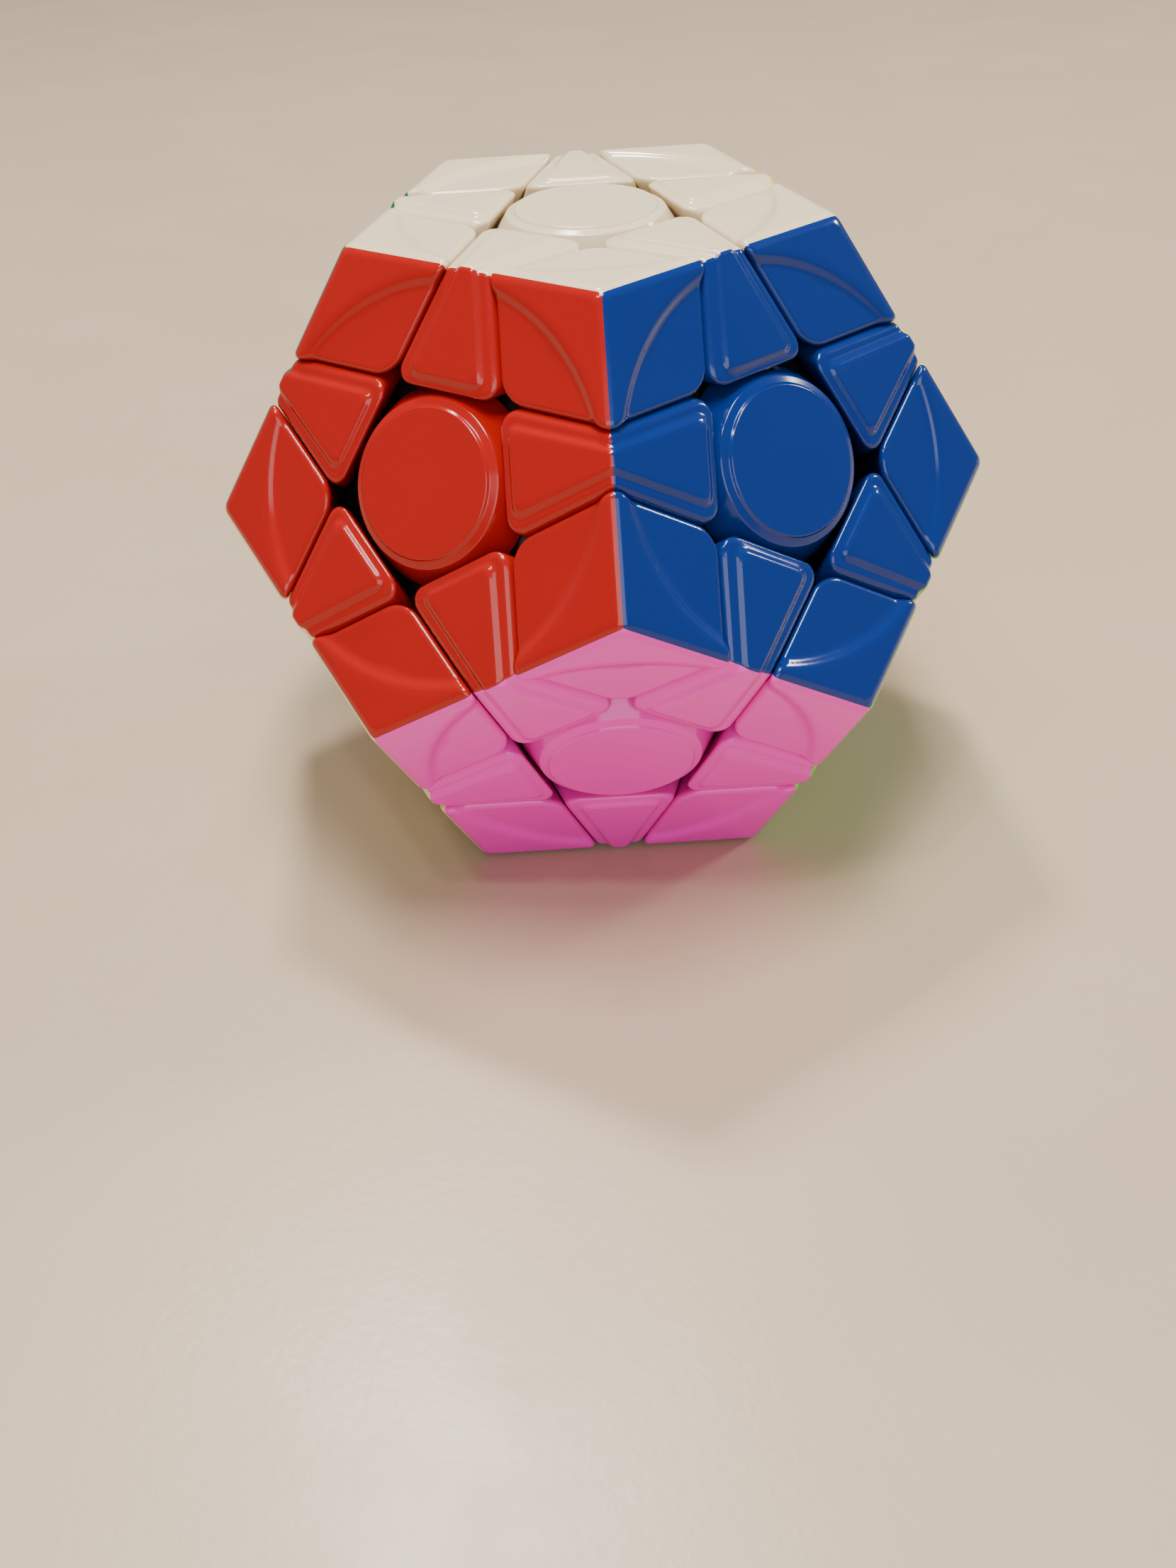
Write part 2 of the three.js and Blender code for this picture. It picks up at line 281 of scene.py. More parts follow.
def cornerForm(points):
    # three faces with their sunk petals, three cuts, and the ball below
    c = cornerShape
    tops, walls = [], []
    for axis in thirds:
        height = points @ axis
        out, side = onFace(points, axis)
        inside = c["rimRadius"] - np.hypot(out - rimMiddle, side)
        tops.append(height - faceRadius + step(inside, c["rimSlope"], c["petalDepth"], c["rimSoft"]))
        walls.append(cutHeight + cutting["gap"] - height)
    cover = softMax([softMax(tops, c["edgeRound"]), softMax(walls, c["innerRound"])], c["sideRound"])
    return softMax([cover, cutting["shellBall"] - np.linalg.norm(points, axis=-1)], c["ballRound"])


def ballPoint(start, direction, radius):
    # where a line from start first meets a ball round the middle of the puzzle
    direction = unit(direction)
    along = (start * direction).sum(-1)
    over = (start ** 2).sum(-1) - radius ** 2
    return start + direction * (-along - np.sqrt(along ** 2 - over))[..., None]


def cornerShell():
    # columns fan out from the vertex, rows run from it over the rim, the petal and the side wall
    c, g = cornerShape, cornerGrid
    t = np.linspace(-1, 1, g["columns"] + 1)
    fan = halfVertex * (g["evenShare"] * t + (1 - g["evenShare"]) * np.sin(math.pi / 2 * t))
    far = (cutDistance - tileGap) / np.sin(halfVertex + np.abs(fan))
    reach = faceToVertex - rimMiddle

    def crossing(radius):
        # distance from the vertex to an arc round the rim's middle, along each column
        return reach * np.cos(fan) - np.sqrt(np.maximum(radius ** 2 - (reach * np.sin(fan)) ** 2, 0))

    sideBand = far - g["sideBand"]
    upper = crossing(c["rimRadius"] + g["slopeMargin"])
    lower = crossing(c["rimRadius"] - c["rimSlope"] - g["slopeMargin"])
    slopeTop = np.minimum(upper, sideBand - g["slopeTopGap"])
    slopeFoot = np.minimum(lower, sideBand - g["slopeFootGap"])
    keys = np.stack([far * 0, far * 0 + g["vertexBand"], slopeTop, slopeFoot, sideBand, far])
    rows = stations(keys, g["rows"])
    axis = thirds[0]
    outward = unit(np.array([0, 0, 1]) - axis * axis[2])
    aside = np.cross(axis, outward)
    out = (faceToVertex - rows * np.cos(fan))[..., None]
    top = faceRadius * axis + out * outward + (rows * np.sin(fan))[..., None] * aside
    deep = np.array([0, 0, (cutHeight + cutting["gap"]) / math.cos(vertexLean)])
    brink = top[-1]
    ball = ballPoint(brink, deep - brink, cutting["shellBall"])
    pole = np.zeros_like(brink) + [0, 0, cutting["shellBall"]]
    wallKeys = np.stack([brink, brink + g["wallTop"] * (ball - brink), ball, pole])
    wallRows = stations(wallKeys, g["wallRows"])
    cage = np.concatenate([top[:-1], wallRows])
    flats = thirds + [-axis for axis in thirds]
    return castShape(cornerForm, cage, np.array([0, 0, c["anchor"]]), flats)


# Edge shells: a half of an edge piece, over one face

edgeShape = {
    "edgeRound": 0.5,        # where two colours meet
    "sideRound": 0.6,        # towards the neighbouring pieces
    "innerRound": 2.3,       # where two walls meet
    "ballRound": 0.3,        # at the foot of the walls
    "flangeDrop": 0.5,       # flange below the panel
    "panelInner": 12.4,      # wide end of the raised panel, from the face middle
    "panelInnerHalf": 4.85,  # half widths of its two ends
    "panelOuterHalf": 0.8,
    "panelSlope": 0.65,      # width of the slope round it
    "panelCorner": 1.0,
    "panelSoft": 0.24,
    "anchor": 43.4,          # inside the shell, on the edge's axis
}
edgeGrid = {
    "rows": [5, 12, 8, 3, 5],        # outer edge, panel, slope, flange and inner side
    "outerBand": 0.8,
    "innerBand": 0.5,
    "aboveSlope": 0.3,       # the slope's rows begin and end this far outside it
    "belowSlope": 0.25,
    "columns": [5, 8, 3, 5, 5, 5, 3],        # panel, slope, flange, end band, wall top, wall, ball
    "insidePanel": 0.25,     # the slope's columns begin and end this far outside it
    "outsidePanel": 0.2,
    "endGap": 0.3,           # and stay this far from the end wall
    "endBand": 0.7,
    "leastFlange": 0.05,
    "wallTop": 0.25,         # share of the wall
    "wallRows": [5, 6],
    "floorRows": 4,
}
halves = [leaning(edgeLean, turn * degrees) for turn in (0, 180)]
beside = [leaning(besideLean, turn * degrees) for turn in (90, 270)]


def panelHalf(out):
    # half width of the panel at this distance from the face middle, and the cosine of its sides' slant
    e = edgeShape
    taper = (e["panelInnerHalf"] - e["panelOuterHalf"]) / (faceToEdge - e["panelInner"])
    return e["panelOuterHalf"] + (faceToEdge - out) * taper, math.cos(math.atan(taper))


def edgeForm(points):
    # two faces with raised panels, the cuts at both ends and along both inner sides, and the ball below
    e = edgeShape
    tops = []
    for axis in halves:
        out, side = onFace(points, axis)
        half, straight = panelHalf(out)
        outside = softMax([(np.abs(side) - half) * straight, e["panelInner"] - out], e["panelCorner"])
        drop = step(outside, e["panelSlope"], e["flangeDrop"], e["panelSoft"])
        tops.append(points @ axis - faceRadius + drop)
    walls = [cutHeight + cutting["gap"] - points @ axis for axis in halves]
    walls += [points @ axis - cutHeight + cutting["gap"] for axis in beside]
    cover = softMax([softMax(tops, e["edgeRound"]), softMax(walls, e["innerRound"])], e["sideRound"])
    return softMax([cover, cutting["shellBall"] - np.linalg.norm(points, axis=-1)], e["ballRound"])


def edgeShell():
    # rows run from the outer edge to the inner side and down its wall, columns from end wall to end wall
    e, g = edgeShape, edgeGrid
    innerSide = faceToEdge - cutDistance + tileGap
    slopeStart = e["panelInner"] + g["aboveSlope"]
    slopeEnd = e["panelInner"] - e["panelSlope"] - g["belowSlope"]
    outer, inner = faceToEdge - g["outerBand"], innerSide + g["innerBand"]
    out = stations(np.array([faceToEdge, outer, slopeStart, slopeEnd, inner, innerSide]), g["rows"])
    outerHalf = edgeLength * (0.5 - cutting["cornerShare"])
    half = outerHalf + (faceToEdge - out) * math.tan(tileSlant) - tileGap / math.cos(tileSlant)
    panel, _ = panelHalf(out)
    slopeFoot = np.minimum(panel + e["panelSlope"] + g["outsidePanel"], half - g["endGap"])
    band = np.maximum(half - g["endBand"], slopeFoot + g["leastFlange"])
    acrossKeys = np.stack([out * 0, panel - g["insidePanel"], slopeFoot, band, half])
    axis, other = halves
    outward = unit(np.array([0, 0, 1]) - axis * axis[2])
    aside = np.array([0.0, 1.0, 0.0])
    top = faceRadius * axis + out[None, :, None] * outward + acrossKeys[..., None] * aside

    # down the end wall, turning from straight down it at the outer edge to the line where both walls meet
    downEnd = np.array([0, math.cos(besideLean), -math.sin(besideLean)])
    downCorner = unit(np.cross(beside[0], other))
    downCorner = downCorner * -np.sign(downCorner[2])
    share = ((faceToEdge - out) / (faceToEdge - innerSide))[:, None]
    brink = top[-1]
    ball = ballPoint(brink, downEnd * (1 - share) + downCorner * share, cutting["shellBall"])
    pole = np.zeros_like(brink) + [0, 0, cutting["shellBall"]]
    wallTop = brink + g["wallTop"] * (ball - brink)
    faceKeys = np.concatenate([top, wallTop[None], ball[None], pole[None]])

    # down the inner wall
    downWall = -unit(np.array([math.cos(edgeLean), 0, math.sin(edgeLean)]))
    innerBrink = top[:, -1]
    sideShare = (acrossKeys[:, -1] / acrossKeys[-1, -1])[:, None]
    innerDown = downWall * (1 - sideShare) + downCorner * sideShare
    innerBall = ballPoint(innerBrink, innerDown, cutting["shellBall"])
    depth = stations(np.array([0.0, g["wallTop"], 1.0]), g["wallRows"])[1:]
    down = innerBrink[:, None] + (innerBall - innerBrink)[:, None] * depth[None, :, None]
    meeting = np.broadcast_to(innerBall[-1], down[-1].shape)
    middle = np.broadcast_to(pole[0], down[-1].shape)
    cornerTop = down[-1] + g["wallTop"] * (meeting - down[-1])
    wallKeys = np.concatenate([down, cornerTop[None], meeting[None], middle[None]])
    close = (np.arange(1, g["floorRows"] + 1) / g["floorRows"])[None, :, None]
    floorKeys = wallKeys[:, -1:] + (pole[0] - wallKeys[:, -1:]) * close
    rightKeys = np.concatenate([faceKeys, wallKeys, floorKeys], 1)
    keys = np.concatenate([rightKeys[:0:-1] * [1, -1, 1], rightKeys])
    cage = stations(keys, g["columns"][::-1] + g["columns"]).transpose(1, 0, 2)
    flats = halves + beside + [-other]
    return castShape(edgeForm, cage, np.array([0, 0, e["anchor"]]), flats)


# Feet, hidden under the shells: a plate that locks under the neighbours, and a neck up to the shells

footShape = {
    "neckRadius": 2.9,
    "neckTop": 39.6,
    "round": 0.35,
    "neckRound": 0.4,        # hollow round between the neck and the plate
    "anchor": 36.0,
    "columns": 60,
    "rows": [5, 5, 8, 8, 6],         # top and side of the neck, top, side and underside of the plate
    "furthest": 30.0,        # no foot reaches further off its axis, degrees
    "rimHalvings": 30,
}


def coneDistance(points, axis, angle):
    # distance outside a cone round an axis through the middle of the puzzle
    along = points @ axis
    off = np.sqrt(np.maximum((points ** 2).sum(-1) - along ** 2, 0))
    return off * math.cos(angle) - along * math.sin(angle)


def footPiece(inCones, outCones):
    # a plate inside some cones and clear of others, between the floor and the ball, and a round neck
    f = footShape
    inner = (cutting["lockAngle"] - cutting["lockSlack"]) * degrees
    outer = (cutting["lockAngle"] + cutting["lockSlack"]) * degrees

    def cones(points):
        sides = [coneDistance(points, axis, inner) for axis in inCones]
        sides += [-coneDistance(points, axis, outer) for axis in outCones]
        return sides

    def form(points):
        size = np.linalg.norm(points, axis=-1)
        floor = cutting["footFloor"] - points[..., 2]
        plate = softMax(cones(points) + [size - cutting["footBall"], floor], f["round"])
        off = np.hypot(points[..., 0], points[..., 1])
        neck = softMax([off - f["neckRadius"], points[..., 2] - f["neckTop"], floor], f["round"])
        return -softMax([-plate, -neck], f["neckRound"])

    around = np.linspace(0, 2 * math.pi, f["columns"] + 1)
    level = np.stack([np.cos(around), np.sin(around), around * 0], -1)
    up = np.array([0.0, 0.0, 1.0])
    near, far = around * 0, around * 0 + f["furthest"] * degrees
    for _ in range(f["rimHalvings"]):
        half = (near + far) / 2
        edge = np.max(cones(level * np.sin(half)[:, None] + up * np.cos(half)[:, None]), 0) < 0
        near, far = np.where(edge, half, near), np.where(edge, far, half)
    rim = cutting["footBall"] * (level * np.sin(near)[:, None] + up * np.cos(near)[:, None])
    neckFoot = f["neckRadius"] * level + up * math.sqrt(cutting["footBall"] ** 2 - f["neckRadius"] ** 2)
    neckRim = f["neckRadius"] * level + up * f["neckTop"]
    middleTop = level * 0 + up * f["neckTop"]
    underRim = rim * (cutting["footFloor"] / rim[:, 2:])
    middleFloor = level * 0 + up * cutting["footFloor"]
    keys = np.stack([middleTop, neckRim, neckFoot, rim, underRim, middleFloor])
    cage = stations(keys, f["rows"])
    return castShape(form, cage, np.array([0, 0, f["anchor"]]), [up, -up], closed=True)


# Centres: a coloured cap with a flared skirt, on a black stalk with a spring and a screw in it

centreShape = {
    "flatRadius": 8.9,       # flat round top
    "stepDrop": 0.36,        # soft step down round it
    "shoulder": 9.2,         # where the step ends
    "lipRadius": 10.1,       # outer lip, from which the skirt flares
    "lipDrop": 0.7,          # lip below the top
    "skirtHeight": 36.75,
    "skirtSlack": 0.1,       # inside the line that the neighbours leave
    "skirtFoot": 0.4,        # width of the skirt's foot
    "wall": 1.7,             # thickness of the cap
    "plugRadius": 7.3,       # where the stalk plugs into the cap
    "play": 0.05,            # each of them stands back this far there
    "radii": [0.3, 0.3, 0.4, 0.25, 0.15, 0.2, 0.3],
    "sides": 96,
}
stalkShape = {
    "radius": 6.3,
    "foot": 17.6,
    "bore": 1.95,
    "cavityRadius": 3.5,
    "cavityFoot": 21.4,
    "cavityTop": 35.0,
    "shelfDrop": 0.6,        # shelf under the cap, below the ball that ends the shells
    "shelfSlope": 0.2,
    "radii": [0.3, 0.15, 0.1, 0.5, 0.3, 0.2, 0.2, 0.3],
    "sides": 48,
}


def flareRadius(height):
    # the edges' inner walls leave room for this radius
    room = cutHeight - cutting["gap"] - height * math.cos(faceAngle)
    return room / math.sin(faceAngle) - centreShape["skirtSlack"]


def capPiece():
    # flat top, step, lip and flared skirt, then inwards along the ball and up round the plug
    c = centreShape
    ball = cutting["shellBall"]
    lip = faceRadius - c["lipDrop"]
    skirt = flareRadius(c["skirtHeight"])
    skirtInner = skirt - c["skirtFoot"]
    hole = c["plugRadius"] + c["play"]
    innerTop = faceRadius - c["wall"]
    line = [
        (0, faceRadius), (c["flatRadius"], faceRadius), (c["shoulder"], faceRadius - c["stepDrop"]),
        (c["lipRadius"], lip), (skirt, c["skirtHeight"]),
        (skirtInner, math.sqrt(ball ** 2 - skirtInner ** 2)),
        (hole, math.sqrt(ball ** 2 - c["plugRadius"] ** 2)),
        (hole, innerTop), (0, innerTop),
    ]
    return turnedShape(line, c["radii"], c["sides"])


def stalkPiece():
    # a plug on a narrower stalk, down to its foot, then up the screw's bore and the spring's cavity
    s = stalkShape
    plug = centreShape["plugRadius"] - centreShape["play"]
    top = faceRadius - centreShape["wall"] - centreShape["play"]
    shelf = cutting["shellBall"] - s["shelfDrop"]
    line = [
        (0, top), (plug, top), (plug, shelf),
        (s["radius"], shelf - s["shelfSlope"]), (s["radius"], s["foot"]),
        (s["bore"], s["foot"]), (s["bore"], s["cavityFoot"]), (s["cavityRadius"], s["cavityFoot"]),
        (s["cavityRadius"], s["cavityTop"]), (0, s["cavityTop"]),
    ]
    return turnedShape(line, s["radii"], s["sides"])


screwShape = {
    "shaft": 1.4,
    "head": 2.75,
    "headFrom": 31.2,
    "headTop": 33.0,
    "socket": 1.3,           # hexagonal key hole, as a round one
    "socketDepth": 1.2,
    "from": 10.0,
    "point": 1.2,            # length of the pointed end
    "radii": [0.1, 0.15, 0.4, 0.15, 0.1, 0.3],
    "sides": 32,
}
springShape = {
    "radius": 2.35,
    "wire": 0.33,
    "from": 22.0,
    "to": 30.7,
    "turns": 6.5,
    "closedEnds": 0.9,       # how nearly flat the first and last turn lie, from 0 to 1
    "stepsPerTurn": 20,
    "wireSides": 8,
}


def screwPiece():
    # key hole, head and shaft, down to a pointed end
    s = screwShape
    line = [
        (0, s["headTop"] - s["socketDepth"]), (s["socket"], s["headTop"] - s["socketDepth"]),
        (s["socket"], s["headTop"]), (s["head"], s["headTop"]), (s["head"], s["headFrom"]),
        (s["shaft"], s["headFrom"]), (s["shaft"], s["from"] + s["point"]), (0, s["from"]),
    ]
    return turnedShape(line, s["radii"], s["sides"])


def springPiece():
    # a round wire carried along a helix that rises slowly at both ends
    s = springShape
    steps = int(s["turns"] * s["stepsPerTurn"])
    t = np.linspace(0, 1, steps + 1)
    turn = t * s["turns"] * 2 * math.pi
    lift = t - s["closedEnds"] * np.sin(2 * math.pi * t) / (2 * math.pi)
    height = s["from"] + (s["to"] - s["from"]) * lift
    line = np.stack([s["radius"] * np.cos(turn), s["radius"] * np.sin(turn), height], -1)
    along = unit(np.gradient(line, axis=0))
    off = np.stack([np.cos(turn), np.sin(turn), turn * 0], -1)
    up = np.cross(along, off)
    around = np.linspace(0, 2 * math.pi, s["wireSides"] + 1)
    across, rise = np.cos(around)[None, :, None], np.sin(around)[None, :, None]
    ring = off[:, None] * across + up[:, None] * rise
    tube = line[:, None] + s["wire"] * ring
    ends = [np.broadcast_to(line[i], tube[0].shape)[None] for i in (0, -1)]
    caps = [np.broadcast_to(along[i] * sign, tube[0].shape)[None] for i, sign in ((0, -1), (-1, 1))]
    grid = np.concatenate([ends[0], tube, ends[1]])
    normals = np.concatenate([caps[0], ring, caps[1]])
    return gridShape(grid, normals, np.zeros(grid.shape[:2]))


# The core: a ball with twelve arms

coreShape = {
    "ball": 11.0,
    "arm": 3.4,
    "armLength": 17.0,
    "fillet": 0.9,
    "round": 0.3,
    "rows": 110,
    "columns": 200,
}


def corePiece():
    # whichever of the ball and the twelve bars reaches further out, with a hollow round between them
    c = coreShape
    axes = np.array(list(faceAxis.values()))

    def form(points):
        size = np.linalg.norm(points, axis=-1)
        along = np.max(points @ axes.T, -1)
        off = np.sqrt(np.maximum(size ** 2 - along ** 2, 0))
        arm = softMax([off - c["arm"], along - c["armLength"]], c["round"])
        return -softMax([c["ball"] - size, -arm], c["fillet"])

    down = np.linspace(0, math.pi, c["rows"] + 1)[:, None]
    around = np.linspace(0, 2 * math.pi, c["columns"] + 1)
    height = np.broadcast_to(np.cos(down), (c["rows"] + 1, c["columns"] + 1))
    ball = np.stack([np.sin(down) * np.cos(around), np.sin(down) * np.sin(around), height], -1)
    return castShape(form, ball * c["armLength"], np.zeros(3), np.vstack([axes, -axes]), closed=True)


# Shader groups

def newGroup(name, inputs, outputs):
    group = bpy.data.node_groups.new(name, "ShaderNodeTree")
    for label, kind, value in inputs:
        socket = group.interface.new_socket(label, in_out="INPUT", socket_type="NodeSocket" + kind)
        socket.default_value = value
    for label, kind in outputs:
        group.interface.new_socket(label, in_out="OUTPUT", socket_type="NodeSocket" + kind)
    return group, group.nodes.new("NodeGroupInput").outputs, group.nodes.new("NodeGroupOutput").inputs


def connect(tree, inputs, links):
    # each input, by name or number, is linked to a socket or set to a value
    for name, value in (links or {}).items():
        if isinstance(value, bpy.types.NodeSocket):
            tree.links.new(value, inputs[name])
        else:
            inputs[name].default_value = value


def node(tree, kind, links=None, **settings):
    made = tree.nodes.new("ShaderNode" + kind)
    for name, value in settings.items():
        setattr(made, name, value)
    connect(tree, made.inputs, links)
    return made


def maths(tree, operation, *values, clamp=False):
    return node(tree, "Math", dict(enumerate(values)), operation=operation, use_clamp=clamp).outputs[0]


def remapped(tree, value, low, high):
    # nought at low, one at high
    return node(tree, "MapRange", {"Value": value, "From Min": low, "From Max": high}).outputs[0]


def noise(tree, scale, detail=2.0, roughness=0.5, vector=None):
    links = {"Scale": scale, "Detail": detail, "Roughness": roughness}
    links["Vector"] = vector or node(tree, "TexCoord").outputs["Object"]
    return node(tree, "TexNoise", links).outputs["Fac"]


def toneDriftGroup():
    # the colour with a slow, faint change of brightness, as pigment gives in moulding
    inputs = [("Color", "Color", (0.5, 0.5, 0.5, 1)), ("Scale", "Float", 60.0), ("Amount", "Float", 0.05)]
    group, given, result = newGroup("toneDrift", inputs, [("Color", "Color")])
    drift = noise(group, given["Scale"], detail=3.0)
    swing = maths(group, "MULTIPLY", maths(group, "SUBTRACT", drift, 0.5), given["Amount"])
    value = maths(group, "ADD", swing, 1.0)
    shifted = node(group, "HueSaturation", {"Value": value, "Color": given["Color"]})
    group.links.new(shifted.outputs["Color"], result["Color"])
    return group


def edgeWearGroup():
    # where the surface is rounded and the noise is high, the gloss has been rubbed
    inputs = [("Rounding", "Float", 0.0), ("Scale", "Float", 900.0), ("Amount", "Float", 0.5)]
    group, given, result = newGroup("edgeWear", inputs, [("Mask", "Float")])
    spots = noise(group, given["Scale"], detail=4.0, roughness=0.6)
    patches = remapped(group, spots, low=0.52, high=0.68)
    worn = maths(group, "MULTIPLY", patches, given["Rounding"])
    group.links.new(maths(group, "MULTIPLY", worn, given["Amount"], clamp=True), result["Mask"])
    return group


def fineScratchesGroup():
    # thin lines: narrow bands of a stretched noise, in two directions
    inputs = [("Scale", "Float", 300.0), ("Amount", "Float", 0.5)]
    group, given, result = newGroup("fineScratches", inputs, [("Mask", "Float")])
    place = node(group, "TexCoord").outputs["Object"]
    ways = [((0.3, 0.9, 0.4), (1.0, 0.04, 1.0)), ((1.1, 0.2, 1.9), (1.0, 1.0, 0.05))]
    lines = []
    for turn, stretch in ways:
        mapped = node(group, "Mapping", {"Vector": place, "Rotation": turn, "Scale": stretch})
        streak = noise(group, given["Scale"], detail=1.0, vector=mapped.outputs[0])
        off = maths(group, "ABSOLUTE", maths(group, "SUBTRACT", streak, 0.5))
        lines.append(remapped(group, off, low=0.004, high=0.0))
    both = maths(group, "MAXIMUM", *lines)
    sparse = remapped(group, noise(group, scale=120.0), low=0.5, high=0.62)
    mask = maths(group, "MULTIPLY", maths(group, "MULTIPLY", both, sparse), given["Amount"])
    group.links.new(mask, result["Mask"])
    return group


def handlingGroup():
    # smudges left by fingers
    group, given, result = newGroup("handling", [("Smudge Scale", "Float", 110.0)], [("Smudge", "Float")])
    spots = noise(group, given["Smudge Scale"], detail=5.0, roughness=0.55)
    group.links.new(remapped(group, spots, low=0.42, high=0.7), result["Smudge"])
    return group


def mouldSkinGroup():
    # the skin of a polished mould: a faint long ripple, and a finer one
    inputs = [
        ("Ripple Scale", "Float", 90.0), ("Skin Scale", "Float", 1500.0), ("Skin Share", "Float", 0.1),
    ]
    group, given, result = newGroup("mouldSkin", inputs, [("Height", "Float")])
    ripple = noise(group, given["Ripple Scale"], detail=1.0)
    skin = noise(group, given["Skin Scale"], detail=2.0)
    height = maths(group, "ADD", ripple, maths(group, "MULTIPLY", skin, given["Skin Share"]))
    group.links.new(height, result["Height"])
    return group


groups = {
    "toneDrift": toneDriftGroup(),
    "edgeWear": edgeWearGroup(),
    "fineScratches": fineScratchesGroup(),
    "handling": handlingGroup(),
    "mouldSkin": mouldSkinGroup(),
}


def placed(tree, group, links=None):
    made = tree.nodes.new("ShaderNodeGroup")
    made.node_tree = groups[group]
    connect(tree, made.inputs, links)
    return made.outputs


def newMaterial(name):
    material = bpy.data.materials.new(name)
    material.use_nodes = True
    tree = material.node_tree
    return material, tree, tree.nodes["Principled BSDF"].inputs


def linear(colour):
    # screen colours from 0 to 255, as linear light
    share = np.array(colour) / 255
    light = np.where(share <= 0.04045, share / 12.92, ((share + 0.055) / 1.055) ** 2.4)
    return (*light.tolist(), 1.0)


def skinned(tree, inputs, skin, strength):
    # the mould's skin as a bump on the whole material
    height = placed(tree, "mouldSkin", skin)["Height"]
    bump = node(tree, "Bump", {"Height": height, "Strength": strength, "Distance": mm})
    tree.links.new(bump.outputs[0], inputs["Normal"])


# Values of each material; smudged, scratched and worn add to the roughness where their mask is 1
gloss = {
    "roughness": 0.13,
    "smudged": 0.05,
    "scratched": 0.06,
    "worn": 0.05,
    "tone": {"Scale": 55.0, "Amount": 0.05},
    "wear": {"Scale": 1100.0, "Amount": 0.7},
    "scratches": {"Scale": 260.0, "Amount": 0.8},
    "bump": 0.03,
    "refraction": 1.5,
}
mechanism = {
    "colour": (26, 26, 28),
    "roughness": 0.45,
    "smudged": -0.2,         # a film of grease
    "tone": {"Scale": 80.0, "Amount": 0.3},
    "smudges": {"Smudge Scale": 240.0},
    "skin": {"Ripple Scale": 200.0, "Skin Share": 0.4},
    "bump": 0.15,
}
steel = {
    "colour": (196, 196, 200),
    "roughness": 0.24,
    "scratched": 0.25,
    "tone": {"Scale": 500.0, "Amount": 0.15},
    "scratches": {"Scale": 900.0, "Amount": 1.0},
}


def glossyPlastic(name, colour):
    material, tree, inputs = newMaterial(name)
    rounding = node(tree, "Attribute", attribute_name="rounding").outputs["Fac"]
    tone = placed(tree, "toneDrift", {"Color": linear(colour), **gloss["tone"]})["Color"]
    worn = placed(tree, "edgeWear", {"Rounding": rounding, **gloss["wear"]})["Mask"]
    scratches = placed(tree, "fineScratches", gloss["scratches"])["Mask"]
    smudge = placed(tree, "handling")["Smudge"]
    tree.links.new(tone, inputs["Base Color"])
    rough = maths(tree, "MULTIPLY_ADD", smudge, gloss["smudged"], gloss["roughness"])
    rough = maths(tree, "MULTIPLY_ADD", scratches, gloss["scratched"], rough)
    rough = maths(tree, "MULTIPLY_ADD", worn, gloss["worn"], rough)
    tree.links.new(rough, inputs["Roughness"])
    skinned(tree, inputs, None, gloss["bump"])
    inputs["IOR"].default_value = gloss["refraction"]
    return material


def mattePlastic(name, look):
    # plain plastic, as on the mechanism; the table has it too
    material, tree, inputs = newMaterial(name)
    tone = placed(tree, "toneDrift", {"Color": linear(look["colour"]), **look["tone"]})["Color"]
    tree.links.new(tone, inputs["Base Color"])
    smudge = placed(tree, "handling", look["smudges"])["Smudge"]
    rough = maths(tree, "MULTIPLY_ADD", smudge, look["smudged"], look["roughness"])
    tree.links.new(rough, inputs["Roughness"])
    skinned(tree, inputs, look["skin"], look["bump"])
    return material


def springSteel():
    material, tree, inputs = newMaterial("springSteel")
    tone = placed(tree, "toneDrift", {"Color": linear(steel["colour"]), **steel["tone"]})["Color"]
    scratches = placed(tree, "fineScratches", steel["scratches"])["Mask"]
    tree.links.new(tone, inputs["Base Color"])
    rough = maths(tree, "MULTIPLY_ADD", scratches, steel["scratched"], steel["roughness"])
    tree.links.new(rough, inputs["Roughness"])
    inputs["Metallic"].default_value = 1.0
    return material


# Base colours as screen values; the render shows them paler
colours = {
    "white": (222, 203, 168), "blue": (4, 39, 111), "yellow": (232, 206, 0),
    "purple": (84, 16, 118), "green": (0, 98, 62), "red": (160, 13, 9),
    "pink": (244, 52, 192), "lime": (92, 188, 20), "orange": (232, 104, 0),
    "light_blue": (66, 162, 212), "cream": (226, 210, 148), "grey": (120, 122, 124),
}
plastics = {name: glossyPlastic(name + "Plastic", colour) for name, colour in colours.items()}
plastics["core"] = mattePlastic("corePlastic", mechanism)
plastics["steel"] = springSteel()
print("materials made:", len(plastics))


# Where the pieces stand

faceAxis = {}
for joint in frame["joints"]:
    colour = joint["name"].rsplit("_", 2)[0]
    faceAxis[colour] = unit(np.array(joint["axis"], float))
nodeBody = {part: body for body, parts in frame["record"]["behaviour"]["bodies"].items() for part in parts}
coreNode = "core_with_screws"


def standing(outward, towards):
    # turns +Z onto outward and +X towards the second direction
    z = unit(outward)
    x = unit(towards - z * (towards @ z))
    return np.stack([x, np.cross(z, x), z], 1)


def anySide(axis):
    # any direction that isn't near the axis
    return np.array([1.0, 0, 0]) if abs(axis[0]) < 0.9 else np.array([0, 1.0, 0])


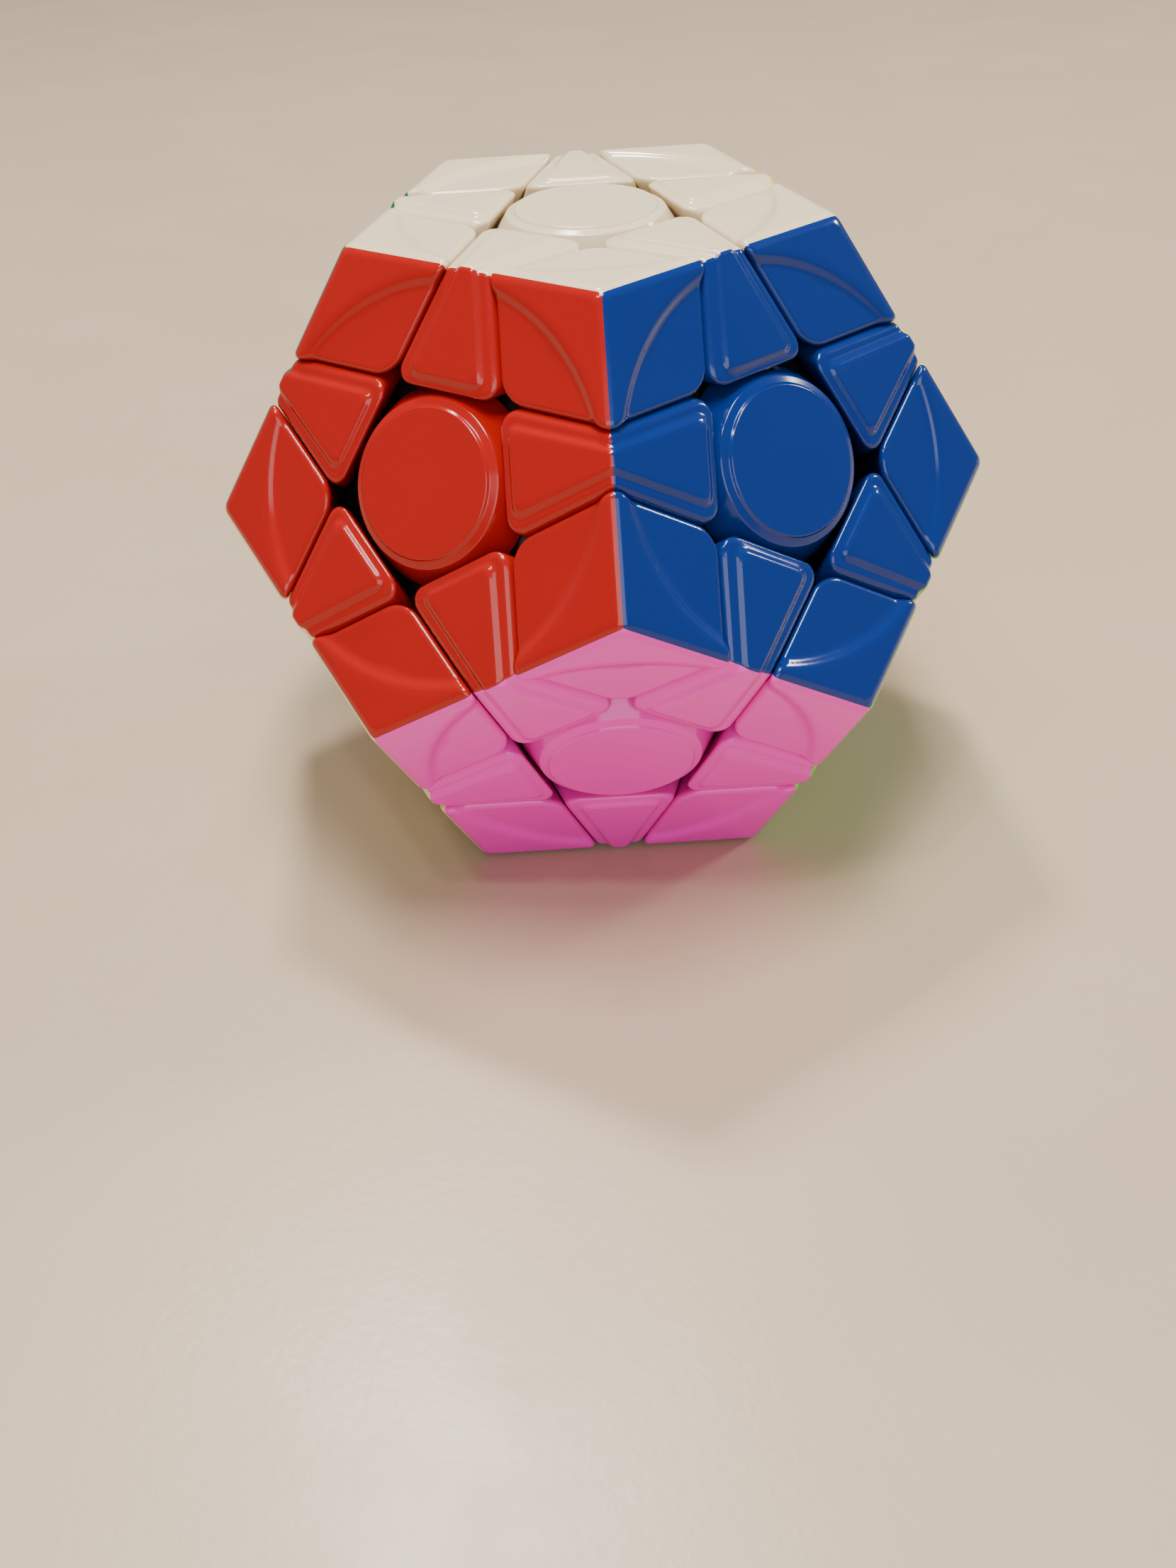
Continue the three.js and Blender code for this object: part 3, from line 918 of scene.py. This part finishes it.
def addPiece(name, shape, turn, material, cadNode):
    mesh = bpy.data.meshes.new(name)
    mesh.from_pydata(shape["points"] @ turn.T * mm, [], shape["triangles"])
    mesh.polygons.foreach_set("use_smooth", np.ones(len(mesh.polygons), bool))
    rounding = mesh.attributes.new("rounding", "FLOAT", "POINT")
    rounding.data.foreach_set("value", shape["rounding"].astype(np.float32))
    mesh.normals_split_custom_set((shape["normals"] @ turn.T).reshape(-1, 3))
    mesh.materials.append(material)
    mesh.update()
    piece = bpy.data.objects.new(name, mesh)
    bpy.context.scene.collection.objects.link(piece)
    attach(piece, nodeBody[cadNode])
    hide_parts(cadNode)


def nextTo(a, b):
    # whether two faces share an edge
    return math.isclose(faceAxis[a] @ faceAxis[b], math.cos(faceAngle), abs_tol=0.01)


def joined(count):
    # every set of this many faces that all touch one another
    for own in itertools.combinations(faceAxis, count):
        if all(nextTo(a, b) for a, b in itertools.combinations(own, 2)):
            yield own


def nodeOf(kind, own):
    # four pieces of the underside share one CAD node
    name = "_".join([kind, *own])
    return name if name in nodeBody else "block_lime_orange_grey"


def addCovers(kind, count, shell, foot):
    # for every corner or edge, a shell over each of its faces and one foot
    for own in joined(count):
        axis = sum(faceAxis[colour] for colour in own)
        name = "_".join([kind, *own])
        cadNode = nodeOf(kind, own)
        for colour in own:
            turn = standing(axis, faceAxis[colour])
            addPiece(f"{name}_shell_{colour}", shell, turn, plastics[colour], cadNode)
        turn = standing(axis, faceAxis[own[0]])
        addPiece(name + "_foot", foot, turn, plastics["core"], cadNode)


addCovers("corner", 3, cornerShell(), footPiece(thirds, []))
print("corners made")
addCovers("edge", 2, edgeShell(), footPiece(halves, beside))
print("edges made")

cap, stalk, screw, spring = capPiece(), stalkPiece(), screwPiece(), springPiece()
for colour, axis in faceAxis.items():
    turn = standing(axis, anySide(axis))
    addPiece(f"centre_{colour}_cap", cap, turn, plastics[colour], "centre_" + colour)
    addPiece(f"centre_{colour}_stalk", stalk, turn, plastics["core"], "centre_" + colour)
    addPiece(f"screw_{colour}", screw, turn, plastics["steel"], coreNode)
    addPiece(f"spring_{colour}", spring, turn, plastics["steel"], coreNode)
addPiece("core", corePiece(), np.eye(3), plastics["core"], coreNode)
print("centres and core made")


# Table, lamps and camera

tableTop = {
    "reach": 1.6,
    "below": 0.00002,        # under the puzzle's bottom face, or the two flicker
    "colour": (184, 163, 136),
    "roughness": 0.32,
    "smudged": 0.1,
    "tone": {"Scale": 9.0, "Amount": 0.06},
    "smudges": {"Smudge Scale": 30.0},
    "skin": {"Ripple Scale": 60.0, "Skin Scale": 800.0, "Skin Share": 0.5},
    "bump": 0.05,
}


def addTable():
    reach, height = tableTop["reach"], cadBox[0].z - tableTop["below"]
    corners = [(x * reach, y * reach, height) for x, y in ((-1, -1), (1, -1), (1, 1), (-1, 1))]
    mesh = bpy.data.meshes.new("table")
    mesh.from_pydata(corners, [], [(0, 1, 2, 3)])
    mesh.materials.append(mattePlastic("tableTop", tableTop))
    table = bpy.data.objects.new("table", mesh)
    bpy.context.scene.collection.objects.link(table)


# name: place in metres, width and height of the lamp, watts, colour
lamps = {
    "backKey": ((-0.12, 0.52, 1.05), (0.14, 0.14), 12.0, (1.0, 0.94, 0.86)),
    "rightBack": ((0.95, 0.25, 0.5), (0.16, 0.16), 6.0, (1.0, 0.95, 0.88)),
    "overhead": ((0.0, -0.1, 1.1), (0.25, 0.5), 15.0, (1.0, 0.99, 0.98)),
    "smallLeft": ((-0.3, -0.3, 0.8), (0.04, 0.04), 1.0, (1.0, 0.97, 0.93)),
    "smallRight": ((-0.17, -0.34, 0.84), (0.04, 0.04), 1.0, (1.0, 0.97, 0.93)),
    "frontFill": ((0.0, -1.4, 0.55), (1.3, 0.9), 11.0, (1.0, 0.96, 0.98)),
}
surround = {"colour": (0.88, 0.88, 0.86, 1), "strength": 0.34}


def addLamps():
    for name, (place, (width, height), watts, colour) in lamps.items():
        light = bpy.data.lights.new(name, "AREA")
        light.shape = "RECTANGLE"
        light.size, light.size_y, light.energy, light.color = width, height, watts, colour
        lamp = bpy.data.objects.new(name, light)
        lamp.location = place
        lamp.rotation_euler = (-Vector(place)).to_track_quat("-Z", "Y").to_euler()
        bpy.context.scene.collection.objects.link(lamp)
    world = bpy.data.worlds.new("studio")
    world.use_nodes = True
    world.node_tree.nodes["Background"].inputs["Color"].default_value = surround["colour"]
    world.node_tree.nodes["Background"].inputs["Strength"].default_value = surround["strength"]
    bpy.context.scene.world = world


view = {
    "place": (-0.008955, -0.201079, 0.103074),
    "turn": 0.448,           # round the puzzle, degrees
    "rise": 29.715,          # how far it looks down, degrees
    "roll": -3.81,
    "lens": 37.53,
    "sensor": 36.0,          # along the picture's long side
    "shift": (0.0395, -0.1336),
}


def addCamera():
    turn, rise, roll = (view[key] * degrees for key in ("turn", "rise", "roll"))
    back = Vector((math.sin(turn) * math.cos(rise), -math.cos(turn) * math.cos(rise), math.sin(rise)))
    level = (-back).cross(Vector((0, 0, 1))).normalized()
    upright = level.cross(-back)
    right = math.cos(roll) * level + math.sin(roll) * upright
    up = -math.sin(roll) * level + math.cos(roll) * upright
    data = bpy.data.cameras.new("camera")
    data.lens, data.sensor_height, data.sensor_width = view["lens"], view["sensor"], view["sensor"]
    data.sensor_fit = "AUTO"
    data.shift_x, data.shift_y = view["shift"]
    data.clip_start = 0.01
    camera = bpy.data.objects.new("camera", data)
    facing = Matrix((right, up, back)).transposed().to_4x4()
    camera.matrix_world = Matrix.Translation(view["place"]) @ facing
    bpy.context.scene.collection.objects.link(camera)
    bpy.context.scene.camera = camera


addTable()
addLamps()
addCamera()
print("table, lamps and camera made")
